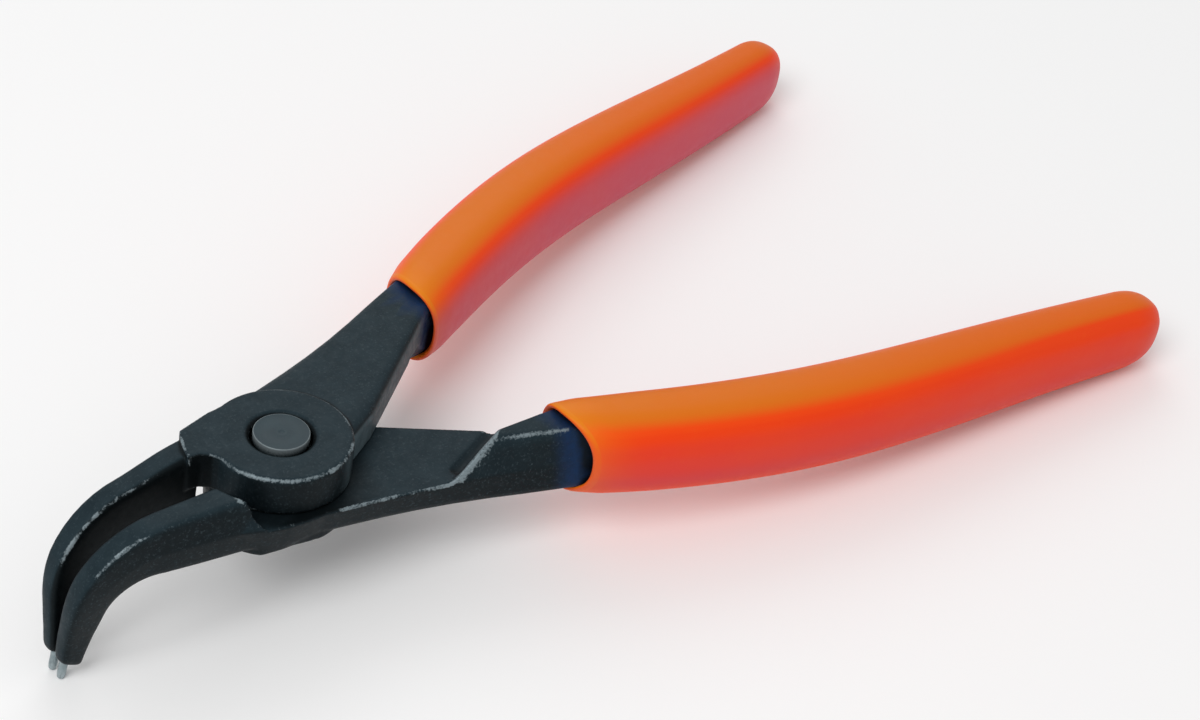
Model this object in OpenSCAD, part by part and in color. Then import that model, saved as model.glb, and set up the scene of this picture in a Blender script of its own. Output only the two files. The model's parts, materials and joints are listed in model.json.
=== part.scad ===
// Bent-nose pliers for external retaining rings: two forged levers on one rivet, with pressed-in tip pins.
// Squeezing the dipped grips spreads the tips; a hidden spring brings them together again.
// All shapes are laid out round the pivot: +X to the grips, +Z along the rivet towards its head.

/* [Head] */
// Radius of the round half-lap head of each lever
head_r = 7.4; // [6.5:0.1:9]
// Thickness of one lever at the head, from the lap plane to the head face
head_t = 4.4; // [4:0.1:6]
// Gap between the two lapped faces
lap_gap = 0.1; // [0.06:0.02:0.3]
// How far the right lever's head face runs out over its jaw
right_run = 2.7; // [1.5:0.1:3.5]
// How far the left lever's head face runs out under its jaw
left_run = 1.7; // [1:0.1:3.5]
// Distance from the round head to the step under the right lever's jaw
right_step = 1.3; // [1:0.1:4]
// Distance from the round head to the step on top of the left lever's jaw
left_step = 2.5; // [1:0.1:4]
// Bevel round the head face
head_bevel = 0.3; // [0.1:0.05:0.6]

/* [Pivot rivet] */
// Radius of the rivet shank
shank_r = 2; // [1.5:0.1:2.4]
// Radial running clearance between shank and bore
shank_fit = 0.03; // [0.01:0.01:0.1]
// Radius of the rivet head
rivet_r = 2.9; // [2.6:0.1:3.4]
// Thickness of the rivet head
rivet_t = 1.7; // [1.2:0.1:2.2]
// Height of the rivet head above the head face
rivet_proud = 0.25; // [0:0.05:0.6]
// Open ring between the rivet head and its counterbore
rivet_gap = 0.3; // [0.1:0.05:0.6]
// Depth of the countersink that the peened end fills
peen_t = 0.9; // [0.5:0.1:1.5]

/* [Return spring] */
// Wire radius of the ring spring round the rivet
wire_r = 0.5; // [0.3:0.05:0.6]
// Mean radius of the ring spring
spring_r = 4.3; // [4.2:0.1:4.8]
// Angle that the spring wire covers
spring_sweep = 300; // [240:5:320]
// Length of each turned-up spring leg above the lap plane
leg_len = 1.9; // [1.4:0.1:2.4]
// Clearance round the spring wire
wire_gap = 0.15; // [0.05:0.05:0.3]
// Angle from each end of the wire to its leg
leg_turn = 7.5; // [7:0.5:15]

/* [Jaws] */
// Distance from the pivot to the start of the bend
jaw_run = 16.6; // [14:0.1:22]
// Bend radius of the jaw's centre line
bend_r = 7.4; // [6:0.1:10]
// Angle that the nose is bent down
bend_angle = 80; // [60:1:90]
// Straight length of the nose below the bend
nose_len = 7.2; // [5:0.1:10]
// Half thickness of the jaw at its root
jaw_root_t = 3.5; // [3:0.1:4]
// Half thickness of the jaw at its nose end
jaw_nose_t = 1.28; // [1.2:0.02:1.8]
// Width of the jaw at its root
jaw_root_w = 4.7; // [4:0.1:5.2]
// Width of the jaw at its nose end
jaw_nose_w = 1.85; // [1.7:0.05:2.4]
// Half of the gap between the jaws at their roots
jaw_root_gap = 2.1; // [1.6:0.1:2.6]
// Half of the gap between the jaws at their nose ends
jaw_nose_gap = 0.12; // [0.08:0.02:0.4]
// Length at the nose end over which the inner faces run level
nose_flat = 3; // [2:0.1:5]
// Lean of the right jaw's outer side at its root, from the forging die
right_draft = 1.5; // [0:0.1:1.8]
// Lean of the left jaw's outer side at its root
left_draft = 0.8; // [0:0.1:1.8]
// Slope of the nose's end face: the front ends higher than the back
nose_slant = 0.35; // [0:0.05:0.5]

/* [Tips] */
// Radius of the working tip pin
tip_r = 0.45; // [0.35:0.05:0.6]
// Length of the working tip below the nose
tip_len = 1.9; // [1.2:0.1:3]
// Part of the working tip that tapers
tip_taper = 0.5; // [0.2:0.1:0.8]
// Length of the tapered neck that brings the working pin clear of the slanted nose end
tip_neck = 0.4; // [0.4:0.05:0.6]
// Radius that the tip tapers to
tip_end_r = 0.36; // [0.2:0.02:0.4]
// Radius of the pin's tapered shank where it enters the nose
tip_shank_r = 0.5; // [0.46:0.02:0.6]
// Radius of the shank at the bottom of its hole
tip_root_r = 0.42; // [0.3:0.02:0.45]
// Depth of the pin's shank in the nose
tip_depth = 2.8; // [2:0.1:3.5]
// Radial clearance of the pin's shank in the nose
tip_fit = 0.01; // [0.005:0.005:0.03]
// Distance of the pin's axis from the middle plane
tip_y = 0.76; // [0.75:0.01:1]
// Shift of the pin's axis from the nose's centre line towards the front
tip_forward = 0.2; // [0:0.05:0.5]

/* [Arms] */
// Half thickness of the arm beside the head
arm_t = 4; // [3.6:0.1:4.3]
// Distance from the pivot to the straight inner edge of the arm
arm_edge = 7.25; // [6.8:0.05:7.3]
// How much slimmer the arm is where it enters the grip
arm_neck = 0.15; // [0:0.05:0.8]
// Reach of the lever's outer shoulder beside the pivot, at the lap plane
shoulder_y = 8.4; // [7.8:0.1:9]
// Spread of the outer edge of the arm, per unit of length, as it leaves the shoulder
arm_spread = 0.21; // [0.15:0.01:0.3]
// Lean of the outer side of head and arm, from the forging die
arm_draft = 1.1; // [0:0.1:1.4]
// Further lean of the outer side where the arm is raised beside the other lever
raised_draft = 1.3; // [0:0.1:1.6]
// Distance from the pivot to the foot of the ramp between half and full thickness
ramp_at = 15.5; // [14:0.1:17]
// Angle of the ramp's foot across the arm
ramp_turn = 22; // [10:1:35]
// Length of the ramp
ramp_run = 1.7; // [1.2:0.1:4]
// Distance of the raised part's inner edge from the middle plane
raised_y = 9.5; // [8.5:0.1:10.5]
// Angle of the raised part's inner edge to X
raised_turn = 3; // [0:1:8]
// Slope of the raised part's inner side, across its height
raised_slope = 2.3; // [1.5:0.1:3]
// Radius of the run-out groove along the ramp's foot
groove_r = 1; // [0.6:0.1:1.5]
// Depth of the run-out groove
groove_t = 0.35; // [0.1:0.05:0.6]
// Distance of the groove's middle from the ramp's foot
groove_back = 0.6; // [0.3:0.1:1]
// Distance along the foot, past the pivot, at which the groove starts
groove_from = 10.4; // [8:0.1:13]

/* [Grips] */
// Distance along X from the pivot to the grip's rim
rim_x = 26.6; // [24:0.1:32]
// Distance of the rim's centre from the middle plane
rim_y = 12.8; // [12:0.1:14.5]
// Distance along X from the pivot to where the grip's round end starts
end_x = 96.9; // [85:0.1:115]
// Distance of the grip's end from the middle plane
end_y = 31.3; // [28:0.1:38]
// Length of the grip's round end
cap_len = 6.3; // [4:0.1:8]
// Angle at which the handle leaves the rim
rim_turn = 25.9; // [20:0.1:30]
// Angle of the handle at its end
end_turn = 10.9; // [5:0.1:20]
// Half width of the grip at the rim, middle and end
grip_w = [4.35, 4.55, 3.55]; // [3:0.05:6]
// Half thickness of the grip at the rim, middle and end
grip_t = [5.05, 5.4, 4.85]; // [4:0.05:7]
// Wall of the dipped grip
coat = 1.4; // [1:0.05:1.6]
// Clearance between the steel and its coat
coat_fit = 0.03; // [0.01:0.01:0.1]
// Extra opening of the coat at its rim
rim_flare = 0.45; // [0.2:0.05:0.6]
// Rounding of the rim
rim_round = 0.6; // [0.3:0.05:0.8]
// How far the rim sweeps back at its two sides
rim_sweep = 1.3; // [0:0.1:2]

/* [Hidden] */
$fn = 64;
ring_n = 24;
over = 0.5;
lap_z = lap_gap / 2;
bore_r = shank_r + shank_fit;
seat_z = head_t + rivet_proud - rivet_t;
steel = "#343c40";

// Values that run smoothly through three given ones
function through(q, s) = q[0] * (1 - s) * (1 - 2 * s) + 4 * q[1] * s * (1 - s) + q[2] * s * (2 * s - 1);
function mix(a, b, s) = a + (b - a) * s;
function ease(s) = s <= 0 ? 0 : s >= 1 ? 1 : s * s * (3 - 2 * s);

// Rounded-rectangle section as [across, up] pairs; the outer side leans in above and below a ridge
function side(c, n) = sign(c) * pow(abs(c), 2 / n);
function leaning(v, above, below, ridge) =
    v > ridge ? above * (v - ridge) / (1 - ridge) : below * (ridge - v) / (1 + ridge);
function section(w, t, n, above = 0, below = 0, ridge = 0) = [for (i = [0 : ring_n - 1])
    let (a = 360 * i / ring_n, u = side(cos(a), n), v = side(sin(a), n))
    [u * w - max(u, 0) * leaning(v, above, below, ridge), v * t]];

// Solid through a row of rings with equal numbers of points
module loft(rings) {
    n = len(rings[0]);
    last = (len(rings) - 1) * n;
    sides = [for (i = [0 : len(rings) - 2], j = [0 : n - 1])
        let (a = i * n + j, b = i * n + (j + 1) % n)
        each [[a, a + n, b + n], [a, b + n, b]]];
    caps = [[for (j = [0 : n - 1]) j], [for (j = [n - 1 : -1 : 0]) last + j]];
    polyhedron([for (r = rings) each r], concat(sides, caps));
}

// Handle centre line, a curve from the rim to the round end
rim_pull = 0.44;
end_pull = 0.47;
handle_len = norm([end_x - rim_x, end_y - rim_y]);
handle_pts = [
    [rim_x, rim_y],
    [rim_x, rim_y] + rim_pull * handle_len * [cos(rim_turn), sin(rim_turn)],
    [end_x, end_y] - end_pull * handle_len * [cos(end_turn), sin(end_turn)],
    [end_x, end_y]];
function handle_at(s) = let (q = 1 - s)
    q * q * q * handle_pts[0] + 3 * q * q * s * handle_pts[1]
    + 3 * q * s * s * handle_pts[2] + s * s * s * handle_pts[3];
function handle_dir(s) = let (q = 1 - s, p = handle_pts)
    q * q * (p[1] - p[0]) + 2 * q * s * (p[2] - p[1]) + s * s * (p[3] - p[2]);
function handle_turn(s) = let (d = handle_dir(s)) atan2(d[1], d[0]);

// Ring round the handle: it stands square to X at the rim and square to the handle further on
square_by = 0.2;
function handle_ring(s, w, t, n, ahead = 0, sweep = 0, below = 0, ridge = 0) =
    let (
        turn = handle_turn(s),
        lean = turn * ease(s / square_by),
        c = handle_at(s),
        k = 1 / cos(turn - lean))
    [for (p = section(w, t, n, 0, below, ridge))
        let (on = ahead + sweep * pow(p[0] / w, 2))
        [c[0] - p[0] * k * sin(lean) + on * cos(turn), c[1] + p[0] * k * cos(lean) + on * sin(turn), p[1]]];

// Steel inside the grip, and the hollow of the coat round it
tang_n = 4;
arm_n = 8;
grip_n = 2.6;
tang_steps = 16;
neck_by = 0.1;
sharp_by = 0.06;
ridge_end = 0.5;
function tang_ring(s, more, sweep = 0) =
    handle_ring(s, through(grip_w, s) - coat + more, through(grip_t, s) - coat + more, tang_n, 0, sweep);
function steel_ring(s) =
    let (neck = 1 - ease(s / neck_by))
    handle_ring(s, through(grip_w, s) - coat - arm_neck * neck, through(grip_t, s) - coat,
        mix(arm_n, tang_n, ease(s / sharp_by)), 0, 0, raised_draft * neck, ridge_end * neck);

// Arm from the shoulder of the head to the rim, in sections square to X
rim_half = (grip_w[0] - coat - arm_neck) / cos(rim_turn);
edge_turn = asin(arm_edge / norm([rim_x, rim_y - rim_half])) + atan2(rim_y - rim_half, rim_x);
function arm_inner(x) = x * tan(edge_turn) - arm_edge / cos(edge_turn);
jaw_outer_y = jaw_root_gap + jaw_root_w;
shoulder_x = 1.4 * head_r;
shoulder_in = 0.65 * head_r;
shoulder_w = 0.45 * jaw_root_w;
shoulder_t = 0.5 * jaw_root_t;
shoulder_sink = 0.35;
shoulder_fall = 0.58;
arm_inside = 0.45 * head_r;
ridge_curve = 4;
function arm_outer(x) = x < 0
    ? mix(shoulder_y, 0.95 * jaw_outer_y, shoulder_fall * pow(x / head_r, 2))
    : mix(shoulder_y + arm_spread * x, rim_y + rim_half, pow(x / rim_x, 4));
arm_xs = concat([for (k = [1 : -0.2 : 0]) -k * shoulder_x], [for (k = [0.12 : 0.14 : 0.9]) k * rim_x]);
function arm_ring(x) =
    let (
        s = max(x / rim_x, 0),
        narrow = ease(-x / shoulder_in),
        out = ease((-x - shoulder_in) / (shoulder_x - shoulder_in)),
        b = arm_outer(x) - shoulder_sink * out,
        a = mix(max(arm_inner(x), -arm_inside), b - shoulder_w, narrow),
        t = mix(mix(arm_t, grip_t[0] - coat, s), shoulder_t, out),
        lean = arm_draft * (1 - s),
        raised_lean = lean + raised_draft * (1 - narrow),
        ridge = ridge_end * pow(s, ridge_curve))
    [for (p = section((b - a) / 2, t, arm_n, lean, raised_lean, ridge))
        [x, (a + b) / 2 + p[0], p[1]]];

module arm() {
    loft(concat(
        [for (x = arm_xs) arm_ring(x)],
        [for (i = [0 : tang_steps]) steel_ring(i / tang_steps)]));
}

// Jaw centre line: straight out of the head, round the bend and down the nose
jaw_start = 0.6 * head_r;
bend_len = bend_r * bend_angle * PI / 180;
jaw_straight = jaw_run - jaw_start;
jaw_len = jaw_straight + bend_len + nose_len;
function jaw_turn(d) = min(max((d - jaw_straight) / bend_len, 0), 1) * bend_angle;
function jaw_at(d) =
    let (a = jaw_turn(d), rest = max(d - jaw_straight - bend_len, 0))
    [-jaw_start - min(d, jaw_straight) - bend_r * sin(a) - rest * cos(a),
     -bend_r * (1 - cos(a)) - rest * sin(a)];
gap_curve = 1.5;
width_curve = 0.7;
thick_curve = 1.6;
jaw_n = 7;
nose_round = 0.35;
function jaw_inner(s) =
    mix(jaw_root_gap, jaw_nose_gap, pow(min(s / (1 - nose_flat / jaw_len), 1), gap_curve));
function jaw_width(s) = mix(jaw_root_w, jaw_nose_w, pow(s, width_curve));
function jaw_half(s) = mix(jaw_root_t, jaw_nose_t, pow(s, thick_curve));
jaw_root_d = head_r - jaw_start;
function jaw_ring(d, root_draft, inset = 0) =
    let (
        s = max(d - jaw_root_d, 0) / (jaw_len - jaw_root_d),
        p = jaw_at(d),
        a = jaw_turn(d),
        w = jaw_width(s) / 2,
        y = jaw_inner(s) + w,
        draft = root_draft * pow(1 - s, 2),
        slant = nose_slant * ease(1 - (jaw_len - d) / nose_flat))
    [for (q = section(w - inset, jaw_half(s) - inset, jaw_n, draft, draft))
        [p[0] + q[1] * (slant * cos(a) - sin(a)), y + q[0], p[1] + q[1] * (slant * sin(a) + cos(a))]];
jaw_ds = concat(
    [for (k = [0 : 0.2 : 0.8]) k * jaw_straight],
    [for (k = [0 : 0.1 : 0.95]) jaw_straight + k * bend_len],
    [for (k = [0 : 0.25 : 0.75]) jaw_straight + bend_len + k * nose_len],
    [jaw_len - nose_round]);

module jaw(draft) {
    rings = concat([for (d = jaw_ds) jaw_ring(d, draft)], [jaw_ring(jaw_len, draft, nose_round)]);
    loft([for (i = [len(rings) - 1 : -1 : 0]) rings[i]]);
}

// Round head with a bevelled face
module head() {
    rotate_extrude()
        polygon([[0, lap_z], [head_r, lap_z], [head_r, head_t - head_bevel],
                 [head_r - head_bevel, head_t], [0, head_t]]);
}

// Raised face that runs from the round head out over the jaw root
module jaw_web(run, draft) {
    reach = head_r + run + over;
    translate([0, 0, lap_z])
        linear_extrude(head_t - lap_z)
            intersection() {
                circle(head_r + run);
                polygon([
                    [0, 0.95 * head_r],
                    [-jaw_start, jaw_outer_y - 0.1 * draft],
                    [-reach, jaw_outer_y - 1.05 * draft],
                    [-reach, 0.9 * jaw_root_gap],
                    [-1.17 * head_r, 0.75 * jaw_root_gap],
                    [-1.05 * head_r, 0.4 * jaw_root_gap],
                    [-0.97 * head_r, -0.2 * jaw_root_gap],
                    [-0.5 * head_r, 0]]);
            }
}

// Everything that the other lever's half of the lap sweeps through, on the underside
module lap_cut(step) {
    depth = 4 * head_t;
    translate([0, 0, lap_z - depth])
        cylinder(r = head_r + step, h = depth);
    back = ramp_at - 0.05 * head_r;
    slope = ramp_run / arm_t;
    jaw_side = 0.6 * head_r;
    rotate([0, 0, 90 - ramp_turn])
        translate([ramp_at, jaw_side, lap_z])
            rotate([90, 0, 0])
                linear_extrude(jaw_side + rim_x)
                    polygon([[0, 0], [-back, 0], [-back, -depth], [depth * slope, -depth]]);
    rotate([0, 0, raised_turn])
        translate([0.75 * rim_x, raised_y, lap_z - arm_t])
            rotate([90, 0, 90])
                linear_extrude(rim_x, center = true)
                    polygon([[-raised_slope, arm_t], [-head_r, arm_t], [-head_r, -depth],
                             [0, -depth], [0, 0]]);
    rotate([0, 0, 90 - ramp_turn])
        translate([ramp_at - groove_back, -groove_from, lap_z + groove_t - groove_r])
            rotate([90, 0, 0]) {
                cylinder(r = groove_r, h = rim_x);
                sphere(groove_r);
            }
}

// Ring-shaped pocket for half of the spring, and the hole for one spring leg
spring_in = spring_r - wire_r - wire_gap;
spring_out = spring_r + wire_r + wire_gap;
pocket_t = wire_r + wire_gap;
leg_r = 0.9 * wire_r;
spring_start = 90 - spring_sweep / 2;
spring_end = spring_start + spring_sweep;
module spring_pocket(leg_angle) {
    translate([0, 0, -over])
        difference() {
            cylinder(r = spring_out, h = pocket_t + over);
            translate([0, 0, -over])
                cylinder(r = spring_in, h = pocket_t + 3 * over);
        }
    rotate([0, 0, leg_angle])
        translate([spring_r, 0, 0])
            cylinder(r = leg_r + wire_gap, h = leg_len + wire_gap);
}

// Hole in the nose for the tip pin's shank
tip_end = jaw_at(jaw_len) + tip_forward * [-sin(bend_angle), cos(bend_angle)];
module at_tip() {
    translate([tip_end[0], tip_y, tip_end[1]])
        rotate([0, 270 - bend_angle, 0])
            children();
}
module tip_hole() {
    mouth_r = mix(tip_root_r, tip_shank_r, 1 + over / tip_depth) + tip_fit;
    at_tip()
        translate([0, 0, -tip_depth])
            cylinder(r1 = tip_root_r + tip_fit, r2 = mouth_r, h = tip_depth + over);
}

// Turn the layout so that tip pins and grip ends stand on the floor, with the origin midway along it
end_t = grip_t[2];
cap_x = cap_len * cos(end_turn);
tip_low = tip_end + tip_len * [-cos(bend_angle), -sin(bend_angle)];
function tip_depth_at(a) =
    tip_low[0] * sin(a) - tip_low[1] * cos(a) + tip_end_r * cos(bend_angle - a);
function grip_depth_at(a) = end_x * sin(a) + norm([cap_x * sin(a), end_t * cos(a)]);
function level(low, high, n) = let (m = (low + high) / 2)
    n == 0 ? m : tip_depth_at(m) > grip_depth_at(m) ? level(m, high, n - 1) : level(low, m, n - 1);
tilt = level(0, 20, 30);
nose_front = jaw_at(jaw_len - nose_round) + jaw_nose_t * [-sin(bend_angle), cos(bend_angle)];
front_x = nose_front[0] * cos(tilt) + nose_front[1] * sin(tilt);
back_x = end_x * cos(tilt) + norm([cap_x * cos(tilt), end_t * sin(tilt)]);
module standing() {
    translate([-(front_x + back_x) / 2, 0, tip_depth_at(tilt)])
        rotate([0, tilt, 0])
            children();
}

// Head, arm and tang of a lever whose half of the lap is on top
module lever_blank(run, draft) {
    head();
    jaw_web(run, draft);
    arm();
}

module right_lever() {
    color(steel)
        standing()
            difference() {
                union() {
                    lever_blank(right_run, right_draft);
                    jaw(right_draft);
                }
                lap_cut(right_step);
                translate([0, 0, -over])
                    cylinder(r = bore_r, h = head_t + 2 * over);
                translate([0, 0, seat_z - lap_gap])
                    cylinder(r = rivet_r + rivet_gap, h = head_t);
                spring_pocket(spring_start + leg_turn);
                tip_hole();
            }
}

// The other lever is the same forging turned over, with its jaw bent the same way down
module left_lever() {
    color(steel)
        standing()
            difference() {
                union() {
                    rotate([180, 0, 0])
                        lever_blank(left_run, left_draft);
                    mirror([0, 1, 0])
                        jaw(left_draft);
                }
                rotate([180, 0, 0]) {
                    lap_cut(left_step);
                    spring_pocket(leg_turn - spring_end);
                }
                translate([0, 0, -head_t - over])
                    cylinder(r = bore_r, h = head_t + 2 * over);
                translate([0, 0, -head_t])
                    cylinder(r1 = rivet_r + shank_fit, r2 = bore_r, h = peen_t);
                mirror([0, 1, 0])
                    tip_hole();
            }
}

// Headed rivet, its lower end peened into the countersink of the left lever
module pivot_rivet() {
    top = head_t + rivet_proud;
    rim = 0.2;
    mark_r = 0.4;
    color("#4b565c")
        standing()
            rotate_extrude()
                polygon([[0, -head_t], [rivet_r, -head_t], [shank_r, peen_t - head_t], [shank_r, seat_z],
                         [rivet_r, seat_z], [rivet_r, top - rim], [rivet_r - rim, top],
                         [mark_r, top], [0, top - mark_r / 2]]);
}

// Open ring of spring wire with one leg up into the right lever and one down into the left
module return_spring() {
    color("#70777c")
        standing()
            rotate([0, 0, spring_start]) {
                rotate_extrude(angle = spring_sweep)
                    translate([spring_r, 0])
                        circle(wire_r);
                rotate([0, 0, leg_turn])
                    translate([spring_r, 0, 0])
                        cylinder(r = leg_r, h = leg_len);
                rotate([0, 0, spring_sweep - leg_turn])
                    translate([spring_r, 0, -leg_len])
                        cylinder(r = leg_r, h = leg_len);
            }
}

// Pin with a shank in the nose, a short neck and a slimmer working tip
module tip_pin() {
    at_tip() {
        translate([0, 0, -tip_depth])
            cylinder(r1 = tip_root_r, r2 = tip_shank_r, h = tip_depth);
        cylinder(r1 = tip_shank_r, r2 = tip_r, h = tip_neck);
        translate([0, 0, tip_neck])
            cylinder(r = tip_r, h = tip_len - tip_taper - tip_neck);
        translate([0, 0, tip_len - tip_taper])
            cylinder(r1 = tip_r, r2 = tip_end_r, h = tip_taper);
    }
}

module right_tip() {
    color("#9aa2a4")
        standing()
            tip_pin();
}

module left_tip() {
    color("#9aa2a4")
        standing()
            mirror([0, 1, 0])
                tip_pin();
}

// Dipped sleeve: from the bottom of its hollow out to the rim and back along the outside to the round end
flare_by = 0.08;
sweep_by = 0.12;
function swept(s) = rim_sweep * (1 - ease(s / sweep_by));
module grip() {
    hollow = [for (i = [tang_steps : -1 : 0])
        let (s = i / tang_steps)
        tang_ring(s, coat_fit + rim_flare * (1 - ease(s / flare_by)), swept(s))];
    bottom = handle_ring(1, through(grip_w, 1) - coat + coat_fit, through(grip_t, 1) - coat + coat_fit,
        tang_n, coat_fit);
    rim = [for (a = [0, 30, 60, 90])
        let (s = rim_round * (1 - cos(a)) / handle_len, less = rim_round * (1 - sin(a)))
        handle_ring(s, grip_w[0] - less, grip_t[0] - less, grip_n, 0, swept(s))];
    outside = [for (i = [1 : tang_steps])
        let (s = i / tang_steps)
        handle_ring(s, through(grip_w, s), through(grip_t, s), grip_n, 0, swept(s))];
    cap = [for (a = [15 : 15 : 75], k = [cos(a)])
        handle_ring(1, grip_w[2] * k, grip_t[2] * k, mix(2, grip_n, k), cap_len * sin(a))];
    last = handle_ring(1, grip_w[2] * cos(86), grip_t[2] * cos(86), 2, cap_len);
    loft(concat([bottom], hollow, rim, outside, cap, [last]));
}

module right_grip() {
    color("#f26a1b")
        standing()
            grip();
}

module left_grip() {
    color("#f26a1b")
        standing()
            rotate([180, 0, 0])
                grip();
}

right_lever();
left_lever();
pivot_rivet();
return_spring();
right_tip();
left_tip();
right_grip();
left_grip();
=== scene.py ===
import json
import math

import bmesh
import bpy
import numpy as np
from mathutils import Matrix, Vector


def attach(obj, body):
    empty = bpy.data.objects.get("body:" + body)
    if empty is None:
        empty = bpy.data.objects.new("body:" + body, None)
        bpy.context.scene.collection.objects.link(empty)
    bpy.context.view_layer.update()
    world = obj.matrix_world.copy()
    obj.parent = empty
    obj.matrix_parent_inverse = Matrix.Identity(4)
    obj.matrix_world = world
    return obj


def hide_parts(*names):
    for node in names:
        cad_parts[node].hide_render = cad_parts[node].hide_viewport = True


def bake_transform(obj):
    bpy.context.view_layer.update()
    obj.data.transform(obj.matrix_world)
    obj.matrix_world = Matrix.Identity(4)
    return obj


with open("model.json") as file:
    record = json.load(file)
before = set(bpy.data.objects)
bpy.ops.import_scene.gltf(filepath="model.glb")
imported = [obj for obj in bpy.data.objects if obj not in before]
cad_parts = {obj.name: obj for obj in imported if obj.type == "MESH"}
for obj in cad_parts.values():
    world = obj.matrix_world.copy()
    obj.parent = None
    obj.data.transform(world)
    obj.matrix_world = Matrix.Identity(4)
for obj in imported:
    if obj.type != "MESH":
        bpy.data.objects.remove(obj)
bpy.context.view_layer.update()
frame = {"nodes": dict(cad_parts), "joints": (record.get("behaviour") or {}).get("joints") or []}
print("frame loaded")

# Working space: millimetres round the pivot, x to the grips, z along the rivet
hinge = frame["joints"][0]
pivotUp = Vector(hinge["axis"]).normalized()
pivotSide = Vector((0, 1, 0))
pivotTurn = Matrix((pivotSide.cross(pivotUp), pivotSide, pivotUp)).transposed().to_4x4()
toRow = Matrix.Translation(hinge["pos_m"]) @ pivotTurn @ Matrix.Scale(0.001, 4)
toPivot = toRow.inverted()


def ease(value, low, high):
    t = np.clip((np.asarray(value, float) - low) / (high - low), 0, 1)
    return t * t * (3 - 2 * t)


def addObject(name, bm, look):
    mesh = bpy.data.meshes.new(name)
    bm.to_mesh(mesh)
    bm.free()
    mesh.materials.append(look)
    obj = bpy.data.objects.new(name, mesh)
    bpy.context.scene.collection.objects.link(obj)
    return obj


def placePiece(obj, body, node):
    obj.data.transform(toRow)
    obj.data.update()
    obj.data.shade_smooth()
    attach(obj, body)
    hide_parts(node)


def readVectors(mesh, key):
    values = np.zeros(len(mesh.vertices) * 3)
    mesh.vertices.foreach_get(key, values)
    return values.reshape(-1, 3)


def storeFloat(mesh, name, values):
    attribute = mesh.attributes.new(name, "FLOAT", "POINT")
    attribute.data.foreach_set("value", np.asarray(values, np.float32))


# Shader building blocks
class Look:
    def __init__(self, name):
        self.material = bpy.data.materials.new(name)
        self.material.use_nodes = True
        self.nodes = self.material.node_tree.nodes
        self.links = self.material.node_tree.links
        self.shader = next(n for n in self.nodes if n.type == "BSDF_PRINCIPLED")
        self.coords = self.nodes.new("ShaderNodeTexCoord").outputs["Object"]

    def put(self, target, value):
        if isinstance(value, bpy.types.NodeSocket):
            self.links.new(value, target)
        elif isinstance(value, tuple) and len(value) == 3 and target.type == "RGBA":
            target.default_value = (*value, 1)
        else:
            target.default_value = value

    def noise(self, scale, detail=3.0, rough=0.55, stretch=None):
        node = self.nodes.new("ShaderNodeTexNoise")
        node.inputs["Scale"].default_value = scale
        node.inputs["Detail"].default_value = detail
        node.inputs["Roughness"].default_value = rough
        coords = self.coords
        if stretch:
            mapping = self.nodes.new("ShaderNodeMapping")
            mapping.inputs["Scale"].default_value = stretch
            self.links.new(coords, mapping.inputs["Vector"])
            coords = mapping.outputs["Vector"]
        self.links.new(coords, node.inputs["Vector"])
        return node.outputs["Fac"]

    def attribute(self, name):
        node = self.nodes.new("ShaderNodeAttribute")
        node.attribute_name = name
        return node.outputs["Fac"]

    def math(self, kind, a, b=0.0):
        node = self.nodes.new("ShaderNodeMath")
        node.operation = kind
        self.put(node.inputs[0], a)
        self.put(node.inputs[1], b)
        return node.outputs[0]

    def times(self, a, b):
        return self.math("MULTIPLY", a, b)

    def sway(self, noise, reach):
        return self.times(self.math("SUBTRACT", noise, 0.5), reach)

    def span(self, value, low, high, outLow=0.0, outHigh=1.0):
        node = self.nodes.new("ShaderNodeMapRange")
        node.interpolation_type = "SMOOTHSTEP"
        for key, number in (("Value", value), ("From Min", low), ("From Max", high)):
            self.put(node.inputs[key], number)
        self.put(node.inputs["To Min"], outLow)
        self.put(node.inputs["To Max"], outHigh)
        return node.outputs["Result"]

    def blend(self, share, a, b):
        node = self.nodes.new("ShaderNodeMix")
        node.data_type = "RGBA"
        self.put(node.inputs[0], share)
        self.put(node.inputs[6], a)
        self.put(node.inputs[7], b)
        return node.outputs[2]

    def ramp(self, value, *stops):
        node = self.nodes.new("ShaderNodeValToRGB")
        node.color_ramp.interpolation = "EASE"
        while len(node.color_ramp.elements) < len(stops):
            node.color_ramp.elements.new(0.5)
        for element, (at, color) in zip(node.color_ramp.elements, stops):
            element.position = at
            element.color = (*color, 1)
        self.links.new(value, node.inputs["Fac"])
        return node.outputs["Color"]

    def bump(self, height, strength, distance, below=None):
        node = self.nodes.new("ShaderNodeBump")
        node.inputs["Strength"].default_value = strength
        node.inputs["Distance"].default_value = distance
        self.links.new(height, node.inputs["Height"])
        if below is not None:
            self.links.new(below, node.inputs["Normal"])
        return node.outputs["Normal"]

    def finish(self, sockets):
        for key, value in sockets.items():
            self.put(self.shader.inputs[key], value)
        return self.material


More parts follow.
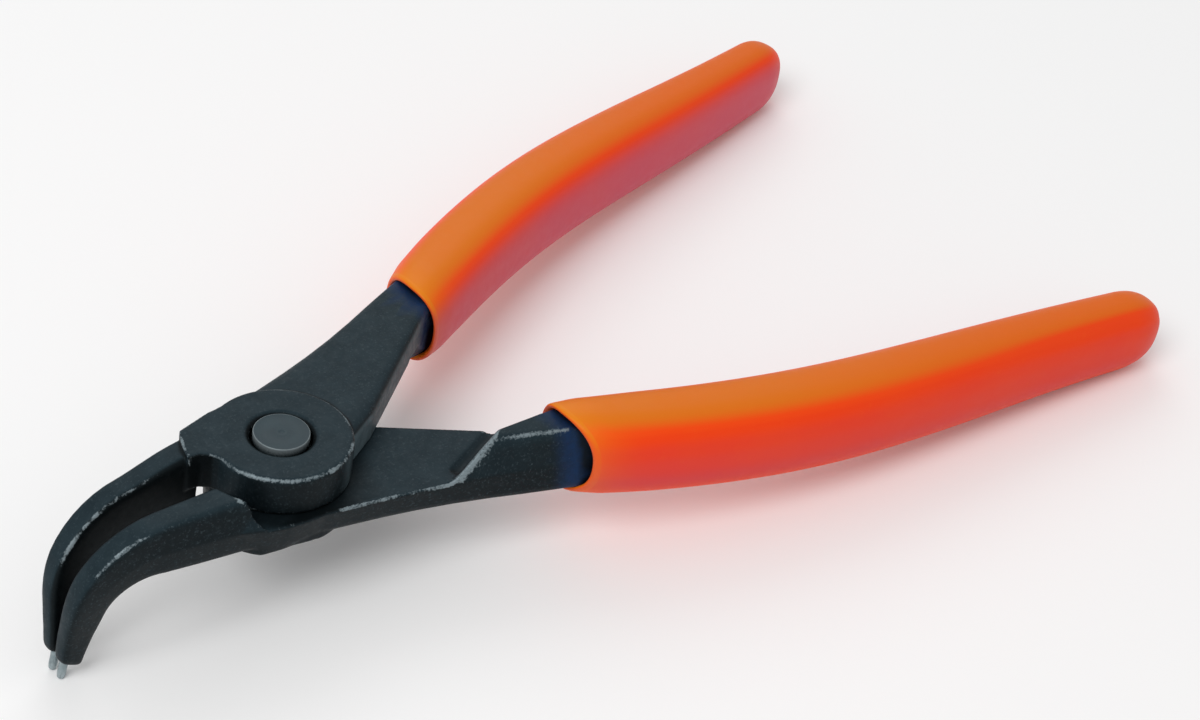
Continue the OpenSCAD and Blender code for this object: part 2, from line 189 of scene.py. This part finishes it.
def burnishedSteel():
    look = Look("burnishedSteel")
    patches = look.noise(130, 3)
    cloud = look.noise(420, 4)
    scale = look.noise(1500, 5, 0.65)
    grain = look.noise(3400, 3, 0.7)
    wearAndHighlight = look.attribute("wearAndHighlight")
    # Faces turned up and towards the noses take the lighter ground tone, other faces the darker raw tone: partly
    # the ground finish, partly painted light and shade
    rawAndShadedTone = look.blend(look.span(scale, 0.35, 0.7), (0.0026, 0.0048, 0.0062), (0.0056, 0.0088, 0.0108))
    groundAndLitTone = look.blend(look.span(cloud, 0.3, 0.72), (0.0102, 0.0195, 0.0255), (0.0152, 0.0272, 0.0345))
    base = look.blend(look.attribute("face"), rawAndShadedTone, groundAndLitTone)
    base = look.blend(look.span(scale, 0.52, 0.74, 0, 0.3), base, (0.028, 0.042, 0.05))
    # Painted light on the inner side of the arms, lighter and mottled
    paintedArmLightShare = look.times(look.attribute("paintedArmLight"), look.span(cloud, 0.3, 0.7, 0.6, 0.9))
    base = look.blend(paintedArmLightShare, base, (0.1, 0.14, 0.158))
    base = look.blend(look.span(grain, 0.54, 0.7, 0, 0.45), base, (0.045, 0.064, 0.074))
    tinted = look.times(look.attribute("blued"), look.span(scale, 0.3, 0.65, 0.65, 0.95))
    base = look.blend(tinted, base, (0.007, 0.026, 0.082))
    # Painted shade: near black where the shade attribute is high
    base = look.blend(look.attribute("shade"), base, (0.0016, 0.0024, 0.0028))
    # Edges painted lighter: partly wear, partly painted highlight where edges catch the light
    ragged = look.math("ADD", look.sway(scale, 0.7), look.sway(grain, 1.5))
    ragged = look.math("ADD", ragged, look.span(patches, 0.3, 0.7, -0.3, 0.1))
    wornAndLit = look.span(look.math("ADD", wearAndHighlight, ragged), 0.38, 0.95)
    base = look.blend(look.times(wornAndLit, 0.8), base, (0.25, 0.305, 0.33))
    normal = look.bump(scale, 0.2, 0.00006)
    normal = look.bump(grain, 0.14, 0.00002, normal)
    return look.finish({
        "Base Color": base, "Roughness": look.span(scale, 0.3, 0.75, 0.42, 0.6),
        "Metallic": look.times(wornAndLit, 0.35), "IOR": 1.4, "Specular IOR Level": 0.2,
        "Specular Tint": (0.72, 0.92, 1.0), "Normal": normal})


def turnedSteel():
    look = Look("turnedSteel")
    cloud = look.noise(420, 4)
    grain = look.noise(6000, 3, 0.7)
    rings = look.attribute("rings")
    base = look.blend(look.span(cloud, 0.35, 0.7), (0.026, 0.043, 0.052), (0.037, 0.058, 0.068))
    base = look.blend(look.times(rings, 0.22), base, (0.06, 0.083, 0.095))
    # The rim is painted brighter: partly wear, partly painted highlight
    wornAndLit = look.span(look.math("ADD", look.attribute("wearAndHighlight"), look.sway(grain, 0.8)), 0.4, 0.95)
    base = look.blend(look.times(wornAndLit, 0.6), base, (0.3, 0.345, 0.36))
    normal = look.bump(rings, 0.2, 0.00001)
    normal = look.bump(grain, 0.1, 0.00002, normal)
    return look.finish({
        "Base Color": base, "Roughness": look.span(cloud, 0.3, 0.7, 0.38, 0.5),
        "Metallic": look.times(wornAndLit, 0.4), "IOR": 1.4, "Specular IOR Level": 0.2, "Normal": normal})


def groundSteel():
    look = Look("groundSteel")
    cloud = look.noise(900, 4)
    grind = look.noise(2500, 3, 0.6, (1, 1, 0.15))
    base = look.blend(look.span(cloud, 0.35, 0.7), (0.24, 0.3, 0.32), (0.38, 0.44, 0.46))
    base = look.blend(look.span(grind, 0.55, 0.75, 0, 0.6), base, (0.12, 0.145, 0.155))
    return look.finish({
        "Base Color": base, "Roughness": look.span(grind, 0.3, 0.7, 0.34, 0.5), "Metallic": 0.6,
        "Normal": look.bump(grind, 0.3, 0.00002)})


def springSteel():
    look = Look("springSteel")
    drawn = look.noise(4000, 2, 0.6)
    base = look.blend(look.span(look.noise(700, 4), 0.35, 0.7), (0.1, 0.105, 0.11), (0.2, 0.21, 0.22))
    return look.finish({
        "Base Color": base, "Roughness": look.span(drawn, 0.3, 0.7, 0.28, 0.42), "Metallic": 0.9,
        "Normal": look.bump(drawn, 0.15, 0.00002)})


def dippedPlastic():
    look = Look("dippedPlastic")
    mottle = look.noise(900, 4, 0.6)
    pores = look.noise(6500, 2, 0.6)
    # Painted light and shade by facing: paler orange on top, a painted highlight line at the edge, redder sides
    # and underside
    flank = look.attribute("flank")
    base = look.ramp(
        flank, (0.01, (0.72, 0.17, 0.004)), (0.17, (0.92, 0.06, 0.0)), (0.24, (0.9, 0.048, 0.001)),
        (0.42, (0.82, 0.042, 0.012)), (0.6, (0.7, 0.05, 0.05)), (0.85, (0.84, 0.06, 0.006)))
    base = look.blend(look.span(look.attribute("along"), 0.05, 0.9, 0, 0.3), base, (0.8, 0.045, 0.004))
    # Painted shade: pinker on the inner sides
    base = look.blend(look.attribute("inner"), base, (0.6, 0.075, 0.12))
    base = look.blend(look.span(look.noise(90, 4), 0.35, 0.7, 0, 0.08), base, (0.85, 0.12, 0.002))
    base = look.blend(look.span(mottle, 0.58, 0.8, 0, 0.08), base, (0.85, 0.18, 0.01))
    # Painted highlight on the rolled lip, strongest on top
    lipHighlightShare = look.times(look.attribute("lipHighlight"), look.span(flank, 0.1, 0.45, 0.75, 0.3))
    base = look.blend(lipHighlightShare, base, (0.8, 0.24, 0.006))
    normal = look.bump(mottle, 0.05, 0.00008)
    normal = look.bump(pores, 0.06, 0.00002, normal)
    return look.finish({
        "Base Color": base, "Roughness": look.span(mottle, 0.3, 0.75, 0.4, 0.48),
        "IOR": 1.4, "Specular IOR Level": 0.25,
        "Subsurface Weight": 0.05, "Subsurface Scale": 0.0015, "Normal": normal})


steelLook = burnishedSteel()
rivetLook = turnedSteel()
tipLook = groundSteel()
springLook = springSteel()
gripLook = dippedPlastic()
print("materials made")


# Levers: the forged body of the CAD part, softened, with bright places where it rubs and painted highlights along
# its edges, and painted shade where shade falls
leverSizes = {
    "voxel": 0.13, "softenings": 12, "roundings": 100, "keepTriangles": 170000,
    "plugRadius": 0.53, "plugDepth": 3.2, "plugStart": 0.3, "nose": (1.5, 5.5),
    "ramp": ((14.1, -11.4, 0.4), (16.2, -11.3, 2.1), (18.2, -11.1, 3.5)), "rampReach": 1.0,
    "root": (-17, -10), "rootEnd": (-9.2, -7.5), "rootFoot": (0.5, 3), "rootTop": (3.5, 4.35),
    "grooveRadius": 3.6, "grooveEdge": 0.15, "grooveAbove": 4, "discRadius": 7.2, "discEdge": 4.3,
    # wear and painted highlight: what every edge gets, and how sharp an edge has to be
    "rubAndHighlight": 0.34, "noseSpared": 0.75, "noseClean": (1, 4), "edgeGain": 1.2, "edge": (0.4, 1.1),
    # painted shade: how dark each place is painted, and where it lies
    "innerShade": 0.85, "innerFacing": (0.2, 0.7), "innerFrom": (3, 7),
    "rampShade": 0.6, "rampFacing": (-0.337, 0.834, 0.43), "rampTurn": (0.8, 0.95),
    "footShade": 0.93, "footRadius": 10.6, "footFade": 2.4, "footHeight": 0.7, "footTurn": (0.5, 0.8),
    "mouthShade": 0.9, "mouth": (26.6, 12.8), "mouthHalf": 4.34, "mouthSweep": 0.85, "mouthDepth": (-0.15, 0.6),
    "grooveShade": 0.95, "hollowShade": 0.85, "hollow": (0.12, 0.8),
    # finish and painted light: faces turned up and towards the noses ground and painted lighter, painted light on
    # the inner side of the arm, and the blue by the grip
    "faceWay": (-0.54, 0.0, 0.84), "faceTurn": (0.2, 0.75), "paintedArmLightFacing": (0.7, 0.9), "paintedArmLightFrom": (2, 6),
    "blued": (24.0, 26.6),
}
# The edge of the disc where it stands above the arm
discArc = tuple(
    (leverSizes["discRadius"] * math.cos(a), -leverSizes["discRadius"] * math.sin(a), -leverSizes["discEdge"])
    for a in np.radians(range(-20, 80, 10)))
# Each rub with its painted highlight on an edge: its line, how far it reaches and how bright it is
armRubsAndHighlights = (
    (((14.1, -11.4, 0.4), (16.2, -11.3, 2.1), (18.2, -11.1, 3.5)), 1.0, 1.6),
    (((18.2, -11.1, 3.5), (21.3, -12.3, 3.55)), 1.1, 1.3),
    (((21.3, -12.3, 3.55), (26.5, -14.2, 3.55)), 0.8, 0.8),
    (((2.0, -8.45, 0.0), (8.2, -9.55, 0.0), (13.5, -11.05, 0.0)), 0.7, 0.5),
)
# Bands worn bright across and painted as highlights, in the same form
armWornAndLitBands = (
    (((14.5, -11.45, 0.3), (16.45, -11.35, 1.8), (18.2, -11.15, 3.1)), 0.72, 1.15),
    (((18.0, -11.1, 3.4), (21.3, -12.3, 3.55), (26.3, -14.1, 3.55)), 0.34, 0.75),
    (discArc, 0.22, 0.72),
)
leftJawRubsAndHighlights = (
    (((-23.6, -3.3, -0.3), (-22.4, -3.4, 0.9), (-21.2, -3.7, 1.6)), 0.8, 0.65),
    (((-21.2, -3.7, 1.6), (-16.4, -4.74, 2.2), (-9.3, -5.46, 3.3)), 0.7, 0.9),
)
rightJawRubsAndHighlights = (
    (((-24.3, 1.1, -1.6), (-23.2, 1.25, -0.3)), 0.6, 0.5),
    (((-23.2, 1.25, -0.3), (-21.5, 1.5, 1.3), (-14.2, 2.0, 3.0)), 0.7, 0.45),
    (((-9.2, 4.2, 4.2), (-9.9, 1.8, 3.5)), 0.6, 0.55),
    (((-7.7, 0.6, 3.7), (-6.65, -3.1, 4.2), (-3.5, -6.2, 4.4), (0.9, -6.9, 4.4)), 0.8, 0.5),
    (((0.9, -6.9, 4.4), (5.0, -5.1, 4.4)), 0.7, 0.25),
)
# How far the jaw's top is raised at its root, and the depth of the groove round the rivet's head
rightTop = {"rootLift": 0.55, "groove": 0.3}
leftTop = {"rootLift": 0, "groove": 0}


def lineDistance(co, line):
    best = np.full(len(co), 1e6)
    for a, b in zip(np.array(line), np.array(line)[1:]):
        share = np.clip((co - a) @ (b - a) / ((b - a) @ (b - a)), 0, 1)
        best = np.minimum(best, np.linalg.norm(co - a - np.outer(share, b - a), axis=1))
    return best


def nearLine(co, line, reach):
    return np.exp(-(lineDistance(co, line) / reach) ** 2)


def tipFrame(node):
    points = np.array([toPivot @ v.co for v in frame["nodes"][node].data.vertices])
    middle = points.mean(axis=0)
    spread = points - middle
    axis = np.linalg.svd(spread, full_matrices=False)[2][0]
    axis = axis if axis[2] < 0 else -axis
    along = spread @ axis
    radius = np.linalg.norm(spread - np.outer(along, axis), axis=1)
    return Vector(middle), Vector(axis), along[radius > 0.97 * radius.max()].max()


def addPlug(bm, node):
    middle, axis, noseEnd = tipFrame(node)
    depth = leverSizes["plugDepth"]
    at = middle + axis * (noseEnd - leverSizes["plugStart"] - depth / 2)
    turn = axis.to_track_quat("Z", "Y").to_matrix().to_4x4()
    bmesh.ops.create_cone(
        bm, cap_ends=True, segments=32, radius1=leverSizes["plugRadius"], radius2=leverSizes["plugRadius"],
        depth=depth, matrix=Matrix.Translation(at) @ turn)


def bend(mesh):
    co = readVectors(mesh, "co")
    normals = readVectors(mesh, "normal")
    edges = np.zeros(len(mesh.edges) * 2, int)
    mesh.edges.foreach_get("vertices", edges)
    a, b = edges.reshape(-1, 2).T
    gap = co[b] - co[a]
    square = np.maximum((gap * gap).sum(axis=1), 1e-9)
    count = np.maximum(np.bincount(a, minlength=len(co)) + np.bincount(b, minlength=len(co)), 1)
    total = np.bincount(a, -2 * (normals[a] * gap).sum(axis=1) / square, len(co))
    total += np.bincount(b, 2 * (normals[b] * gap).sum(axis=1) / square, len(co))
    value = total / count
    for _ in range(9):
        near = np.bincount(a, value[b], len(co)) + np.bincount(b, value[a], len(co))
        value = 0.5 * value + 0.5 * near / count
    return value


def applyModifiers(obj):
    made = bpy.data.meshes.new_from_object(obj.evaluated_get(bpy.context.evaluated_depsgraph_get()))
    obj.modifiers.clear()
    obj.data = made
    made.name = obj.name
    return made


def addSmooth(obj, name, times, group=""):
    smooth = obj.modifiers.new(name, "SMOOTH")
    smooth.factor = 0.5
    smooth.iterations = times
    smooth.vertex_group = group


def pivotRadius(co):
    return np.hypot(co[:, 0], co[:, 1])


def reshapeTop(co, top):
    g = leverSizes
    lift = ease(co[:, 0], *g["root"]) * (1 - ease(co[:, 0], *g["rootEnd"]))
    co[:, 2] += top["rootLift"] * lift * ease(co[:, 2], *g["rootFoot"]) * (1 - ease(co[:, 2], *g["rootTop"]))
    groove = ease(g["grooveRadius"] - pivotRadius(co), 0, g["grooveEdge"]) * (co[:, 2] > g["grooveAbove"])
    co[:, 2] -= top["groove"] * groove


def roundEdges(obj, co, armWay):
    g = leverSizes
    rounded = ease(-co[:, 2], *g["nose"]) * (co[:, 0] < 0)
    rounded = np.maximum(rounded, nearLine(co, np.array(g["ramp"]) * armWay, g["rampReach"]))
    group = obj.vertex_groups.new(name="rounded")
    for index in np.flatnonzero(rounded > 0.02):
        group.add([int(index)], float(rounded[index]), "REPLACE")
    addSmooth(obj, "round", g["roundings"], "rounded")
    addSmooth(obj, "soften", g["softenings"])


# Wear and painted highlight: lighter on sharp edges and along the listed lines and bands
def wearAndHighlightMap(co, value, jawRubsAndHighlights, armWay):
    g = leverSizes
    rubAndHighlight = g["rubAndHighlight"] * (1 - g["noseSpared"] * ease(-co[:, 2], *g["noseClean"]) * (co[:, 0] < 0))
    for line, reach, bright in jawRubsAndHighlights:
        rubAndHighlight = rubAndHighlight + bright * nearLine(co, line, reach)
    for line, reach, bright in armRubsAndHighlights:
        rubAndHighlight = rubAndHighlight + bright * nearLine(co, np.array(line) * armWay, reach)
    wearAndHighlight = np.minimum(g["edgeGain"] * ease(value, *g["edge"]) * rubAndHighlight, 1)
    for line, reach, bright in armWornAndLitBands:
        wearAndHighlight = np.maximum(wearAndHighlight, bright * nearLine(co, np.array(line) * armWay, reach))
    return wearAndHighlight


# Painted shade: darker on the jaws' inner sides, the ramp's face, the plate round the disc's foot, the arm just
# inside the grip's mouth, the ring round the rivet's head and concave hollows
def paintedShadeMap(co, normals, value, armWay):
    g = leverSizes
    radius = pivotRadius(co)
    inner = g["innerShade"] * ease(normals[:, 1] * armWay[1], *g["innerFacing"]) * ease(-co[:, 0], *g["innerFrom"])
    ramp = g["rampShade"] * ease(normals @ (np.array(g["rampFacing"]) * armWay), *g["rampTurn"])
    foot = g["footShade"] * ease(g["footRadius"] - radius, 0, g["footFade"])
    foot = foot * ease(normals[:, 2] * armWay[2], *g["footTurn"])
    foot = foot * (np.abs(co[:, 2]) < g["footHeight"])
    across = (np.abs(co[:, 1]) - g["mouth"][1]) / g["mouthHalf"]
    mouthEdge = g["mouth"][0] + g["mouthSweep"] * across ** 2
    mouth = g["mouthShade"] * ease(co[:, 0] - mouthEdge, *g["mouthDepth"])
    groove = g["grooveShade"] * ease(g["grooveRadius"] - radius, 0, g["grooveEdge"]) * (co[:, 2] > 0)
    hollow = g["hollowShade"] * ease(-value, *g["hollow"])
    return np.max((inner, ramp, foot, mouth, groove, hollow), axis=0)


def forgedLever(name, node, tip, body, jawRubsAndHighlights, armWay, top):
    bm = bmesh.new()
    bm.from_mesh(frame["nodes"][node].data)
    bm.transform(toPivot)
    bmesh.ops.remove_doubles(bm, verts=bm.verts, dist=0.0005)
    addPlug(bm, tip)
    obj = addObject(name, bm, steelLook)
    remesh = obj.modifiers.new("forged", "REMESH")
    remesh.mode = "VOXEL"
    remesh.voxel_size = leverSizes["voxel"]
    forged = applyModifiers(obj)
    full = 2 * len(forged.polygons)

    co = readVectors(forged, "co")
    reshapeTop(co, top)
    forged.vertices.foreach_set("co", co.ravel())
    roundEdges(obj, co, armWay)
    thin = obj.modifiers.new("thin", "DECIMATE")
    thin.ratio = min(1, leverSizes["keepTriangles"] / full)
    made = applyModifiers(obj)
    obj.vertex_groups.clear()
    made.materials.clear()
    made.materials.append(steelLook)

    co, normals, value = readVectors(made, "co"), readVectors(made, "normal"), bend(made)
    inward = normals[:, 1] * armWay[1]
    storeFloat(made, "face", ease(normals @ np.array(leverSizes["faceWay"]), *leverSizes["faceTurn"]))
    storeFloat(made, "wearAndHighlight", wearAndHighlightMap(co, value, jawRubsAndHighlights, armWay))
    storeFloat(made, "shade", paintedShadeMap(co, normals, value, armWay))
    storeFloat(made, "paintedArmLight", ease(inward, *leverSizes["paintedArmLightFacing"]) * ease(co[:, 0], *leverSizes["paintedArmLightFrom"]))
    storeFloat(made, "blued", ease(co[:, 0], *leverSizes["blued"]))
    print(name, "triangles before thinning", full, "after", sum(len(p.vertices) - 2 for p in made.polygons))
    placePiece(obj, body, node)


forgedLever("rightLeverForged", "right_lever", "right_tip", "right_side", rightJawRubsAndHighlights, (1, -1, -1), rightTop)
forgedLever("leftLeverForged", "left_lever", "left_tip", "left_side", leftJawRubsAndHighlights, (1, 1, 1), leftTop)
print("levers made")


# Grips: dipped sleeves along the same centre line as the CAD grips
gripSizes = {
    "rim": (26.6, 12.8), "end": (96.9, 31.3), "rimTurn": 25.9, "endTurn": 10.9, "rimPull": 0.44, "endPull": 0.47,
    "halfWidth": (4.34, 4.54, 3.44), "halfHeight": (5.04, 5.39, 4.815),
    "corner": 2.6, "rimCorner": 2.35, "cornerBy": 0.12, "hollowCorner": 4.0, "capCorner": 2.1,
    "cap": 6.25, "capFullness": 2.3, "coat": 1.4, "fit": 0.03, "flare": 0.5, "flareBy": 0.08,
    "tuck": 0.25, "tuckBy": 0.035, "lipLength": 0.45, "lipHighlightPeak": 0.85, "lipHighlightFade": 0.025,
    "sweep": 0.95, "sweepBy": 0.12, "squareBy": 0.2,
    "flat": 0.03, "flatFrom": 0.7, "flatTo": 0.95, "flatAt": 45, "flatWide": 14,
    "points": 112, "hollowRings": 60, "lipRings": 15, "wallRings": 150, "capRings": 26, "wallFrom": 0.0075,
    "innerDown": 0.6, "innerFacing": (0.3, 1.1), "innerAbove": (-0.95, -0.5),
}


def through(three, s):
    return three[0] * (1 - s) * (1 - 2 * s) + 4 * three[1] * s * (1 - s) + three[2] * s * (2 * s - 1)


def heading(degrees):
    return np.array((math.cos(math.radians(degrees)), math.sin(math.radians(degrees))))


def handleLine(s):
    g = gripSizes
    rim, end = np.array(g["rim"]), np.array(g["end"])
    length = np.linalg.norm(end - rim)
    nearRim = rim + g["rimPull"] * length * heading(g["rimTurn"])
    nearEnd = end - g["endPull"] * length * heading(g["endTurn"])
    p = (rim, nearRim, nearEnd, end)
    q = 1 - s
    at = q ** 3 * p[0] + 3 * q * q * s * p[1] + 3 * q * s * s * p[2] + s ** 3 * p[3]
    way = q * q * (p[1] - p[0]) + 2 * q * s * (p[2] - p[1]) + s * s * (p[3] - p[2])
    return at, math.atan2(way[1], way[0]), length


def gripRing(s, inward, corner, scale=1.0, ahead=0.0):
    g = gripSizes
    at, turn, _ = handleLine(s)
    lean = turn * float(ease(s, 0, g["squareBy"]))
    k = 1 / math.cos(turn - lean)
    w = (through(g["halfWidth"], s) - inward) * scale
    t = (through(g["halfHeight"], s) - inward) * scale
    a = np.arange(g["points"]) * 2 * math.pi / g["points"]
    off = np.degrees(np.minimum(abs(a - math.radians(g["flatAt"])), abs(a - math.radians(360 - g["flatAt"]))))
    flat = 1 - g["flat"] * float(ease(s, g["flatFrom"], g["flatTo"])) * np.exp(-(off / g["flatWide"]) ** 2)
    u = np.sign(np.cos(a)) * np.abs(np.cos(a)) ** (2 / corner) * w * flat
    v = np.sign(np.sin(a)) * np.abs(np.sin(a)) ** (2 / corner) * t * flat
    on = ahead + g["sweep"] * (1 - float(ease(s, 0, g["sweepBy"]))) * (u / w) ** 2
    x = at[0] - u * k * math.sin(lean) + on * math.cos(turn)
    y = at[1] + u * k * math.cos(lean) + on * math.sin(turn)
    return np.stack((x, y, v), axis=1)


def gripRings():
    g = gripSizes
    length = handleLine(0)[2]
    hollow = g["coat"] - g["fit"] - g["flare"]
    rings = []
    for s in np.linspace(1, g["wallFrom"], g["hollowRings"]):
        deep = float(ease(s, 0, g["flareBy"]))
        corner = g["rimCorner"] + (g["hollowCorner"] - g["rimCorner"]) * deep
        rings.append((gripRing(s, hollow + g["flare"] * deep, corner), 0.0, 0.0))
    for a in np.radians(np.linspace(-90, 90, g["lipRings"])):
        inward = g["tuck"] + (hollow - g["tuck"]) * (1 - math.sin(a)) / 2
        rings.append((gripRing(g["lipLength"] * (1 - math.cos(a)) / length, inward, g["rimCorner"]), 1.0, 0.0))
    for s in np.linspace(g["wallFrom"], 1, g["wallRings"]):
        corner = g["rimCorner"] + (g["corner"] - g["rimCorner"]) * float(ease(s, 0, g["cornerBy"]))
        inward = g["tuck"] * (1 - float(ease(s, 0, g["tuckBy"])))
        rings.append((gripRing(s, inward, corner), g["lipHighlightPeak"] * math.exp(-s / g["lipHighlightFade"]), s))
    for a in np.radians(np.linspace(2, 88, g["capRings"])):
        k = math.cos(a) ** (2 / g["capFullness"])
        ahead = g["cap"] * math.sin(a) ** (2 / g["capFullness"])
        rings.append((gripRing(1, 0, g["capCorner"] + (g["corner"] - g["capCorner"]) * k, k, ahead), 0.0, 1.0))
    return rings


# A flat grid is wrapped into the sleeve: one way along the rings, the other way round them
def dippedGrip(name, node, body, side):
    rings = gripRings()
    count, last = gripSizes["points"], len(rings) - 1
    bm = bmesh.new()
    lipHighlight, along = bm.verts.layers.float.new("lipHighlight"), bm.verts.layers.float.new("along")
    bmesh.ops.create_grid(bm, x_segments=last, y_segments=count, size=1)
    for v in bm.verts:
        ring = rings[round((v.co.x + 1) / 2 * last)]
        x, y, z = ring[0][round((v.co.y + 1) / 2 * count) % count]
        v[lipHighlight], v[along] = ring[1], ring[2]
        v.co = (x, y * side, z)
    bmesh.ops.remove_doubles(bm, verts=bm.verts, dist=0.0001)
    bmesh.ops.holes_fill(bm, edges=[e for e in bm.edges if e.is_boundary], sides=0)
    bmesh.ops.recalc_face_normals(bm, faces=bm.faces)
    obj = addObject(name, bm, gripLook)
    normals = readVectors(obj.data, "normal")
    # flank: how far each face turns down, for the painted light and shade
    storeFloat(obj.data, "flank", 0.5 - 0.5 * normals[:, 2])
    # Painted shade: the inner side turned pinker
    inner = ease(-side * normals[:, 1] - gripSizes["innerDown"] * normals[:, 2], *gripSizes["innerFacing"])
    storeFloat(obj.data, "inner", inner * ease(normals[:, 2], *gripSizes["innerAbove"]))
    placePiece(obj, body, node)


dippedGrip("rightGripDipped", "right_grip", "right_side", 1)
dippedGrip("leftGripDipped", "left_grip", "left_side", -1)
print("grips made")


# Rivet: turned head with a bright rim and a centre mark, shank and peened end
rivetSizes = {
    "profile": (
        (0.0, 4.52), (0.12, 4.53), (0.26, 4.58), (0.42, 4.62), (0.62, 4.6), (1.0, 4.6), (1.4, 4.6),
        (1.8, 4.605), (2.2, 4.61), (2.55, 4.62), (2.72, 4.64), (2.79, 4.648), (2.85, 4.63), (2.885, 4.59),
        (2.9, 4.52), (2.9, 3.0), (2.0, 2.96), (2.0, -3.5), (2.9, -4.36), (2.86, -4.4), (2.4, -4.4),
        (1.2, -4.4), (0.0, -4.4)),
    "steps": 96, "rimFrom": 2.7, "rimTo": 2.86, "rimAbove": 4.45, "ringPitch": 0.34,
}


def spun(name, profile, steps, look, place=Matrix()):
    bm = bmesh.new()
    verts = [bm.verts.new((r, 0, z)) for r, z in profile]
    edges = [bm.edges.new(pair) for pair in zip(verts, verts[1:])]
    bmesh.ops.spin(
        bm, geom=verts + edges, axis=(0, 0, 1), cent=(0, 0, 0), angle=2 * math.pi, steps=steps, use_merge=True,
        use_duplicate=False)
    bmesh.ops.remove_doubles(bm, verts=bm.verts, dist=0.0005)
    bmesh.ops.recalc_face_normals(bm, faces=bm.faces)
    bm.transform(place)
    return addObject(name, bm, look)


rivet = spun("pivotRivetTurned", rivetSizes["profile"], rivetSizes["steps"], rivetLook)
rivetCo = readVectors(rivet.data, "co")
rivetR = np.hypot(rivetCo[:, 0], rivetCo[:, 1])
# The head's rim painted brighter: partly wear, partly painted highlight
rivetRim = ease(rivetR, rivetSizes["rimFrom"], rivetSizes["rimTo"]) * (rivetCo[:, 2] > rivetSizes["rimAbove"])
storeFloat(rivet.data, "wearAndHighlight", rivetRim)
storeFloat(rivet.data, "rings", 0.5 + 0.5 * np.sin(rivetR * 2 * math.pi / rivetSizes["ringPitch"]))
placePiece(rivet, "left_side", "pivot_rivet")


# Tips: the working ends of the pins, rooted in the noses
tipSizes = {
    "profile": (
        (0.0, -0.9), (0.47, -0.9), (0.47, 0.02), (0.45, 0.06), (0.45, 1.35), (0.445, 1.42), (0.372, 1.84),
        (0.35, 1.884), (0.3, 1.899), (0.0, 1.899)),
    "steps": 40,
}


def groundTip(name, node, body):
    middle, axis, noseEnd = tipFrame(node)
    place = Matrix.Translation(middle + axis * noseEnd) @ axis.to_track_quat("Z", "Y").to_matrix().to_4x4()
    placePiece(spun(name, tipSizes["profile"], tipSizes["steps"], tipLook, place), body, node)


groundTip("rightTipGround", "right_tip", "right_side")
groundTip("leftTipGround", "left_tip", "left_side")

# Spring: the CAD wire, shaded smooth with its sharp edges kept
springSizes = {"twistFrom": (0, 0, 0.5), "twistTo": (0, 0, -0.5), "sharp": 40}
springMesh = bmesh.new()
springMesh.from_mesh(frame["nodes"]["return_spring"].data)
bmesh.ops.remove_doubles(springMesh, verts=springMesh.verts, dist=0.0000005)
spring = addObject("returnSpringWire", springMesh, springLook)
spring.data.shade_smooth()
spring.data.set_sharp_from_angle(angle=math.radians(springSizes["sharp"]))
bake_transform(spring)
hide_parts("return_spring")
print("rivet, tips and spring made")


# Stage: pale floor, even light and the photo's viewpoint
stageSizes = {
    "floorHalf": 3, "floorDrop": 0.00002, "floorColor": (0.96, 0.96, 0.96), "skyLight": 0.6,
    # each light's place, width and power, and the point that both shine at
    "aim": (-0.02, 0, 0.01),
    "keyLight": ((-0.42, -0.1, 0.62), 0.45, 2.2), "rimLight": ((0.35, 0.5, 0.55), 0.5, 0.9),
}
floorLook = Look("floorPale").finish({
    "Base Color": stageSizes["floorColor"], "Roughness": 0.9, "Specular IOR Level": 0.0})
floorMesh = bmesh.new()
bmesh.ops.create_grid(floorMesh, x_segments=1, y_segments=1, size=stageSizes["floorHalf"])
floor = addObject("floor", floorMesh, floorLook)
floor.location.z = -stageSizes["floorDrop"]

world = bpy.data.worlds.new("plainLight")
world.use_nodes = True
sky = next(n for n in world.node_tree.nodes if n.type == "BACKGROUND")
sky.inputs["Color"].default_value = (1, 1, 1, 1)
sky.inputs["Strength"].default_value = stageSizes["skyLight"]
bpy.context.scene.world = world


def addLight(name):
    at, size, power = stageSizes[name]
    data = bpy.data.lights.new(name, "AREA")
    data.shape = "DISK"
    data.size = size
    data.energy = power
    light = bpy.data.objects.new(name, data)
    light.location = at
    light.rotation_euler = (Vector(stageSizes["aim"]) - Vector(at)).to_track_quat("-Z", "Y").to_euler()
    bpy.context.scene.collection.objects.link(light)


addLight("keyLight")
addLight("rimLight")

# Camera in the pivot's space, so it keeps its view of the tool
cameraSizes = {
    "position": (-130.4888, -158.5853, 171.5055), "right": (0.739207, -0.657994, 0.143589),
    "forward": (0.595182, 0.538473, -0.596495), "lens": 78.7459, "sensor": 36, "clip": (0.01, 10),
}
cameraData = bpy.data.cameras.new("photoCamera")
cameraData.sensor_width = cameraSizes["sensor"]
cameraData.sensor_fit = "HORIZONTAL"
cameraData.lens = cameraSizes["lens"]
cameraData.clip_start, cameraData.clip_end = cameraSizes["clip"]
camera = bpy.data.objects.new("photoCamera", cameraData)
bpy.context.scene.collection.objects.link(camera)
right, back = Vector(cameraSizes["right"]), -Vector(cameraSizes["forward"])
cameraTurn = pivotTurn @ Matrix((right, back.cross(right), back)).transposed().to_4x4()
camera.matrix_world = Matrix.Translation(toRow @ Vector(cameraSizes["position"])) @ cameraTurn
bpy.context.scene.camera = camera
bpy.context.scene.view_settings.view_transform = "Standard"
print("stage made")
